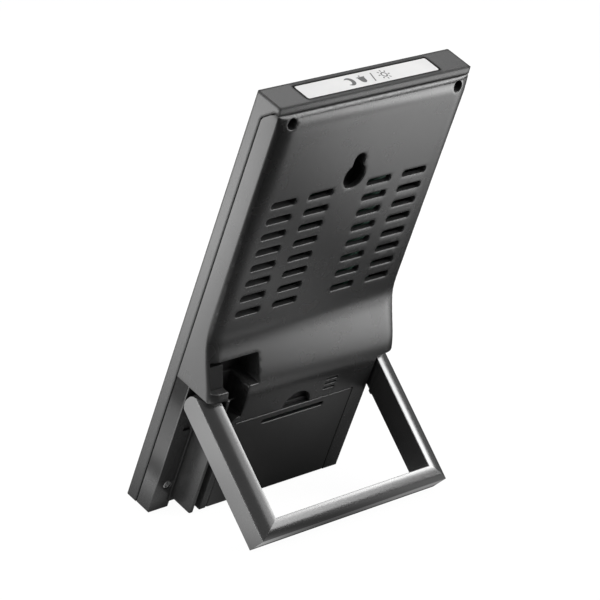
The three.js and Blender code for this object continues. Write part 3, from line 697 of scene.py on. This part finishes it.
def front_frame():
    plan = rounded([(-HALF_W, 0, 0.7), (HALF_W, 0, 0.7), (HALF_W, FRAME_DEPTH, 0),
                    (-HALF_W, FRAME_DEPTH, 0)], 4)
    gusset = [(FRAME_DEPTH - 0.5, 190.5), (FRAME_DEPTH, 191), (11.9, 197), (5.4, 197)]
    lip = [(3, LIP_BOTTOM), (LIP_DEPTH, LIP_BOTTOM), (LIP_DEPTH - 0.2, HEIGHT), (3, HEIGHT)]
    parts = [prism(lip, "x", -HALF_W, HALF_W)]
    for low, high in ((-HALF_W, -HALF_W + 1.8), (HALF_W - 1.8, HALF_W)):
        parts.append(prism(gusset, "x", low, high))
    tools = [
        block(-50, 50, -1, 1.3, 30, 196),
        block(-45, 45, -1, 3, 40.5, 186.5),
        prism(rounded_rect(-38.65, 37.45, 1.85, 11.85, 0.9), "z", 195, 201),
    ]
    for i in range(-2, 3):
        x = i * KEY_SPACING
        hole = rounded_rect(x - 5.8, x + 5.8, KEY_ROW - 2.8, KEY_ROW + 2.8, 2.4)
        tools.append(prism(hole, "y", -1, 3))
    ring = combine(prism(plan, "z", 0, HEIGHT),
                   cut=[block(-HALF_W + 1.8, HALF_W - 1.8, 2.2, 7, 1.8, LIP_BOTTOM)])
    mesh = combine(ring, add=parts, cut=tools)

    def radius(middle):
        edge = middle.z > 199 or middle.z < 0.5
        outer = abs(middle.x) > 53.9 or middle.y < 0.1 or middle.y > LIP_DEPTH - 0.3
        if edge and outer:
            return 0.45
        if middle.z > LIP_BOTTOM - 0.1 and middle.z < HEIGHT - 0.5:
            return 0.35
        return 0.22

    return solid("front_frame_shell", mesh, BLACK_FRAME, "case", bevel=radius,
                 replaces=["front_frame"])


def parting_tongues():
    """Ribs inside the side walls that close the joint between the frame and the cover."""
    for side in (-1, 1):
        near, far = sorted((side * 50.9, side * 51.9))
        rib = block(near, far, 3.0, 9.0, 5.0, 190.0)
        solid(f"parting_tongue_{'left' if side > 0 else 'right'}", rib, BLACK_SHADED, "case",
              bevel=0.2)


def setting_keys():
    for i in range(-2, 3):
        x = i * KEY_SPACING
        number = i + 3
        outline = rounded_rect(x - 5.5, x + 5.5, KEY_ROW - 2.5, KEY_ROW + 2.5, 2.2, 6)
        cap = prism(outline, "y", -0.5, 2.8)
        flange = block(x - 6.5, x + 6.5, 2.5, 3.3, KEY_ROW - 3.4, KEY_ROW + 3.4)
        solid(f"setting_key_cap_{number}", combine(cap, add=[flange]), KEY_BLACK,
              f"setting_key_{number}", bevel=0.35, replaces=[f"setting_key_{number}"])


# ---------------------------------------------------------------- snooze key

def snooze_key():
    cap = prism(rounded_rect(-37.9, 36.5, 2.45, 11.25, 0.8, 6), "z", 196.0, KEY_TOP)
    skirt = block(-39.1, 37.9, 2.6, 12.3, 195.4, 196.3)
    mesh = combine(cap, add=[skirt], cut=[block(-50, 50, 0, 2.6, 190, 196.7)])
    solid("snooze_key_cap", mesh, KEY_WHITE, "snooze_key", bevel=0.25,
          replaces=["snooze_key"])
    for number, outline in enumerate(key_marks(6.85), 1):
        inlay = prism(outline, "z", KEY_TOP - 0.2, KEY_TOP + 0.015)
        finish_piece(f"key_mark_{number}", inlay, MARK_GREY, "snooze_key")


def key_marks(y):
    """Outlines of four plain pictograms in a row: a lamp, a slash, a bell and a moon."""
    lamp, slash, bell, moon = -10.0, -3.6, 2.4, 9.4
    marks = [[*arc(lamp, y, 1.6, 0, 180, 14), *arc(lamp, y, 1.0, 180, 0, 14)],
             [*arc(lamp, y, 1.6, 180, 360, 14), *arc(lamp, y, 1.0, 360, 180, 14)]]
    for k in range(8):
        turn = k * math.pi / 4
        along = Vector((math.cos(turn), math.sin(turn)))
        across = Vector((-along.y, along.x)) * 0.28
        middle = Vector((lamp, y))
        marks.append([tuple(middle + along * d + across * s)
                      for d, s in ((2.1, -1), (3.1, -1), (3.1, 1), (2.1, 1))])
    marks.append([(slash - 1.1, y - 2.7), (slash - 0.5, y - 2.7), (slash + 1.1, y + 2.7),
                  (slash + 0.5, y + 2.7)])
    marks.append([*arc(bell, y + 0.6, 1.6, 0, 180, 12), (bell - 1.8, y - 1.1),
                  (bell - 2.5, y - 1.6), (bell + 2.5, y - 1.6), (bell + 1.8, y - 1.1)])
    marks.append([(bell - 0.6, y - 1.95), (bell - 0.3, y - 2.6), (bell + 0.3, y - 2.6),
                  (bell + 0.6, y - 1.95)])
    marks.append([*arc(moon, y, 2.6, 40, 320, 24), *arc(moon + 1.3, y, 1.85, -115, -245, 14)])
    return marks


# ---------------------------------------------------------------- battery door, socket, screws

def battery_door():
    x0, x1, z0, z1 = DOOR
    plate = prism(rounded_rect(x0, x1, z0, z1, 0.7), "y", 10, 30)
    slit = rounded_rect(-18, 18, 46.2, 48.2, 0.98, 6)
    mesh = combine(plate, keep=[under_back(0)],
                   cut=[under_back(DOOR_THICK), prism(slit, "y", 20, 30)])
    solid("battery_door_panel", mesh, BLACK_DOOR, "battery_door", bevel=0.45,
          replaces=["battery_door"])


def power_socket():
    side = [(13.3, 69.8), (23.2, 69.8), (19.2, 78.6), (13.3, 78.6)]
    body = combine(prism(side, "x", 44.6, 52.7), cut=[rod("x", 17.4, 74.2, 2.75, 40, 51.2)])
    solid("power_socket", body, SOCKET, "case", bevel=0.35, replaces=["dc_jack"])


def case_screws():
    places = [(SCREW_TOP, 1, SCREW_TOP_HEAD), (SCREW_TOP, -1, SCREW_TOP_HEAD),
              (SCREW_LOW, 1, SCREW_LOW_HEAD), (SCREW_LOW, -1, SCREW_LOW_HEAD)]
    for number, (at, side, top) in enumerate(places, 1):
        x, z = side * at[0], at[1]
        head = combine(
            rod("y", x, z, 2.1, top - 1.6, top),
            add=[rod("y", x, z, 1.3, 3.2, top - 1.5)],
            cut=[block(x - 1.5, x + 1.5, top - 0.8, top + 1, z - 0.3, z + 0.3),
                 block(x - 0.3, x + 0.3, top - 0.8, top + 1, z - 1.5, z + 1.5)],
        )

        def radius(middle, rim=top):
            away = math.hypot(middle.x - x, middle.z - z)
            return 0.8 if middle.y > rim - 0.01 and away > 1.9 else 0.06

        solid(f"screw_head_{number}", head, SCREW, "case", bevel=radius,
              replaces=[f"case_screw_{number}"])


# ---------------------------------------------------------------- bail stand

def bail_section(width):
    """Outline of a bar, as (distance in from its outer side, r), counterclockwise."""
    crest = 0.97 * width
    outer = (0, 4.45)
    return [
        *arc(0.5, LEG_FRONT + 0.5, 0.5, 180, 270, 4),
        *arc(width - 0.5, LEG_FRONT + 0.5, 0.5, 270, 360, 4),
        *bezier((width, LEG_BACK - 0.25), (width, LEG_BACK - 0.11), (0.99 * width, LEG_BACK),
                (crest, LEG_BACK), 6),
        *bezier((crest, LEG_BACK), (0.52 * width, LEG_BACK), (0.12 * width, 6.2), outer, 22),
        outer,
    ]


def on_mitre(point):
    """Whether a point of the bail lies on the slanted joint of a leg and the crossbar."""
    across = (HALF_W - abs(point.x)) / LEG_WIDTH
    along = (point.z + LEG_LENGTH) / BAR_WIDTH
    return abs(across - along) < 0.003


def bail_stand():
    leg = bail_section(LEG_WIDTH)
    bar = [(a * BAR_WIDTH / LEG_WIDTH, r) for a, r in leg]
    stations = [
        [(HALF_W - a, r, 7.0) for a, r in leg],
        [(HALF_W - a, r, -LEG_LENGTH + b) for (a, r), (b, _) in zip(leg, bar)],
        [(-HALF_W + a, r, -LEG_LENGTH + b) for (a, r), (b, _) in zip(leg, bar)],
        [(-HALF_W + a, r, 7.0) for a, r in leg],
    ]
    size = len(leg)
    bm = bmesh.new()
    rings = [[bm.verts.new(p) for p in ring] for ring in stations]
    for one, two in zip(rings, rings[1:]):
        for i in range(size):
            bm.faces.new((one[i - 1], one[i], two[i], two[i - 1]))
    bm.faces.new(rings[0])
    bm.faces.new(rings[-1])
    bmesh.ops.recalc_face_normals(bm, faces=bm.faces)
    sweep = bpy.data.meshes.new("sweep")
    bm.to_mesh(sweep)
    bm.free()
    side = [(LEG_FRONT - 0.5, -LEG_LENGTH - 1), (9, -LEG_LENGTH - 1), (9, -3.2), (7.6, -2.2),
            (6.6, -0.2), (5.2, 2.6), (4.0, 4.3), (2.4, LEG_ROUND),
            *arc(0, 0, LEG_ROUND, 90, 180, 12),
            (LEG_FRONT - 0.5, 0)]
    bumps = []
    for sign in (-1, 1):
        bump = [(LEG_FRONT + 0.5, -12.2), (LEG_FRONT - 0.85, -13.0), (LEG_FRONT - 0.85, -14.2),
                (LEG_FRONT + 0.5, -15.0)]
        near, far = sorted((sign * (HALF_W - LEG_WIDTH + 0.02), sign * 48.8))
        bumps.append(prism(bump, "x", near, far))
    holes = [rod("x", 0, 0, PIN_HOLE, low, high) for low, high in ((40, 51), (-51, -40))]
    mesh = combine(sweep, add=bumps, cut=holes)
    mesh = combine(mesh, keep=[prism(side, "x", -HALF_W - 1, HALF_W + 1)])
    bm = bmesh.new()
    bm.from_mesh(mesh)
    bmesh.ops.dissolve_limit(bm, angle_limit=math.radians(0.2), verts=bm.verts, edges=bm.edges)
    for face in bm.faces:
        face.smooth = True
    for edge in bm.edges:
        turn = edge.calc_face_angle(0)
        edge.smooth = turn < math.radians(2 if all(on_mitre(v.co) for v in edge.verts) else 24)
    bm.to_mesh(mesh)
    bm.free()
    bail = finish_piece("stand_bail_bar", mesh, BAIL_GREY, "stand", STAND,
                        replaces=["stand_bail"])
    shading = bail.modifiers.new("shading", "WEIGHTED_NORMAL")
    shading.keep_sharp = True


# ---------------------------------------------------------------- looks of the CAD pieces kept

NODE_LOOKS = {
    "display_window": LENS,
    "lcd_panel": LCD,
    "light_guide": GUIDE,
    "backlight_bar": LAMPS,
    "lcd_connector": ELASTOMER,
    "display_ribbon": RIBBON,
    "antenna_rod": FERRITE,
    "antenna_coil": COPPER,
    "dc_jack_pin": NICKEL,
}
KIND_LOOKS = (("board_screw", STEEL), ("stand_pin", STEEL), ("spring", NICKEL),
              ("contact", NICKEL), ("cell", SLEEVE), ("board", BOARD), ("chip", CHIP),
              ("buzzer", CHIP), ("switch", CHIP))


def dress_cad_nodes():
    for name, node in frame["nodes"].items():
        look = NODE_LOOKS.get(name)
        if look is None:
            # Inner parts without their own look get the black plastic painted darker as shade.
            look = next((m for kind, m in KIND_LOOKS if kind in name), BLACK_SHADED)
        for material_slot in node.material_slots:
            material_slot.material = look


rear_shell()
rear_slab()
battery_tray()
cover_blocks()
front_frame()
parting_tongues()
setting_keys()
snooze_key()
battery_door()
power_socket()
case_screws()
bail_stand()
dress_cad_nodes()


# ---------------------------------------------------------------- floor, light and camera

def flat_stage(name, size, height, material, **visible):
    mesh = prism([(-size, -size), (size, -size), (size, size), (-size, size)], "z",
                 height - 0.002, height)
    mesh.materials.append(material)
    piece = bpy.data.objects.new(name, mesh)
    bpy.context.scene.collection.objects.link(piece)
    for key, value in visible.items():
        setattr(piece, f"visible_{key}", value)


def floor_material():
    """Pale floor: mostly an even glow, with a faint shadow under the object."""
    material = bpy.data.materials.new("pale_floor")
    material.use_nodes = True
    n = Nodes(material.node_tree)
    speckle = n.spread(n.noise(900, 2), 0.88, 0.9)
    tone = n.add("ShaderNodeCombineColor", {"Red": speckle, "Green": speckle, "Blue": speckle})
    lit = n.add("ShaderNodeBsdfDiffuse", {"Color": tone.outputs["Color"]})
    glow = n.add("ShaderNodeEmission", {"Color": (1, 1, 1, 1), "Strength": 1.02})
    parts = {"Fac": 0.05, 1: glow.outputs["Emission"], 2: lit.outputs["BSDF"]}
    mixed = n.add("ShaderNodeMixShader", parts)
    n.add("ShaderNodeOutputMaterial", {"Surface": mixed.outputs["Shader"]})
    return material


# Where the reflected floor glows: (x, y, radius, strength), metres and watts.
FLOOR_GLOW = [
    (0.10, 0.02, 0.05, 2.2),
    (0.16, -0.06, 0.07, 3.3),
    (0.25, -0.20, 0.11, 3.2),
    (0.40, -0.40, 0.17, 8.5),
    (0.70, -0.75, 0.28, 8.0),
    (-0.06, 0.06, 0.05, 0.8),
    (-0.17, 0.12, 0.045, 1.9),
    (-0.22, 0.16, 0.05, 3.0),
    (-0.34, 0.12, 0.09, 3.0),
    (-0.36, 0.28, 0.08, 10.0),
    (-0.48, 0.40, 0.12, 14.0),
]
# Softboxes 1.2 m from the object: (azimuth from +X, elevation, size in m, watts).
SOFTBOXES = [
    (0, 12, 0.55, 7),
    (120, 12, 0.55, 5),
    (120, 32, 0.55, 2),
    (150, 32, 0.55, 7),
    (147, 18, 0.4, 3),
    (210, 52, 0.55, 1.5),
    (250, 65, 0.8, 4),
    (330, 34, 1.1, 9),
]


def glow_material():
    material = bpy.data.materials.new("floor_glow")
    material.use_nodes = True
    n = Nodes(material.node_tree)
    where = n.add("ShaderNodeTexCoord").outputs["Object"]
    total = None
    for x, y, radius, strength in FLOOR_GLOW:
        away = n.add("ShaderNodeVectorMath", {0: where, 1: (x, y, 0)}, operation="DISTANCE")
        ratio = n.add("ShaderNodeMath", {0: away.outputs["Value"], 1: radius}, operation="DIVIDE")
        power = n.add("ShaderNodeMath", {0: ratio.outputs[0], 1: 2.0}, operation="POWER")
        fade = n.add("ShaderNodeMath", {0: power.outputs[0], 1: -1.0}, operation="MULTIPLY")
        bell = n.add("ShaderNodeMath", {0: fade.outputs[0]}, operation="EXPONENT")
        part = n.add("ShaderNodeMath", {0: bell.outputs[0], 1: strength}, operation="MULTIPLY")
        if total is None:
            total = part.outputs[0]
        else:
            total = n.add("ShaderNodeMath", {0: total, 1: part.outputs[0]}).outputs[0]
    glow = n.add("ShaderNodeEmission", {"Strength": total})
    n.add("ShaderNodeOutputMaterial", {"Surface": glow.outputs["Emission"]})
    return material


def softbox(azimuth, elevation, size, watts):
    """Square lamp aimed at the middle of the object."""
    around, up = math.radians(azimuth), math.radians(elevation)
    away = Vector((math.cos(around) * math.cos(up), math.sin(around) * math.cos(up), math.sin(up)))
    light = bpy.data.lights.new("softbox", "AREA")
    light.size = size
    light.energy = watts
    lamp = bpy.data.objects.new("softbox", light)
    lamp.location = away * 1.2 + Vector((0, 0, 0.09))
    lamp.rotation_euler = away.to_track_quat("Z", "Y").to_euler()
    lamp.visible_camera = False
    bpy.context.scene.collection.objects.link(lamp)


def world_light(strength):
    world = bpy.data.worlds.new("studio")
    world.use_nodes = True
    n = Nodes(world.node_tree)
    seen = n.add("ShaderNodeLightPath").outputs["Is Camera Ray"]
    level = n.add("ShaderNodeMapRange", {"Value": seen, "To Min": strength, "To Max": 1.0})
    inputs = {"Color": (1, 1, 1, 1), "Strength": level.outputs["Result"]}
    sky = n.add("ShaderNodeBackground", inputs)
    n.add("ShaderNodeOutputWorld", {"Surface": sky.outputs["Background"]})
    bpy.context.scene.world = world


def camera():
    data = bpy.data.cameras.new("camera")
    data.sensor_width = 36
    data.lens = 198.2
    data.clip_start, data.clip_end = 0.05, 20
    view = bpy.data.objects.new("camera", data)
    look = Vector((-0.67923, -0.67472, -0.28878))
    view.rotation_mode = "QUATERNION"
    roll = Quaternion((0, 0, 1), math.radians(0.5))
    view.rotation_quaternion = look.to_track_quat("-Z", "Y") @ roll
    view.location = (0.92055, 0.91659, 0.47959)
    bpy.context.scene.collection.objects.link(view)
    bpy.context.scene.camera = view


flat_stage("floor", 6, -0.0003, floor_material(), diffuse=False, glossy=False, transmission=False)
flat_stage("floor_glow", 6, -0.001, glow_material(), camera=False, shadow=False)
for azimuth, elevation, size, watts in SOFTBOXES:
    softbox(azimuth, elevation, size, watts)
world_light(0.27)
camera()

bpy.context.scene.view_settings.view_transform = "Standard"
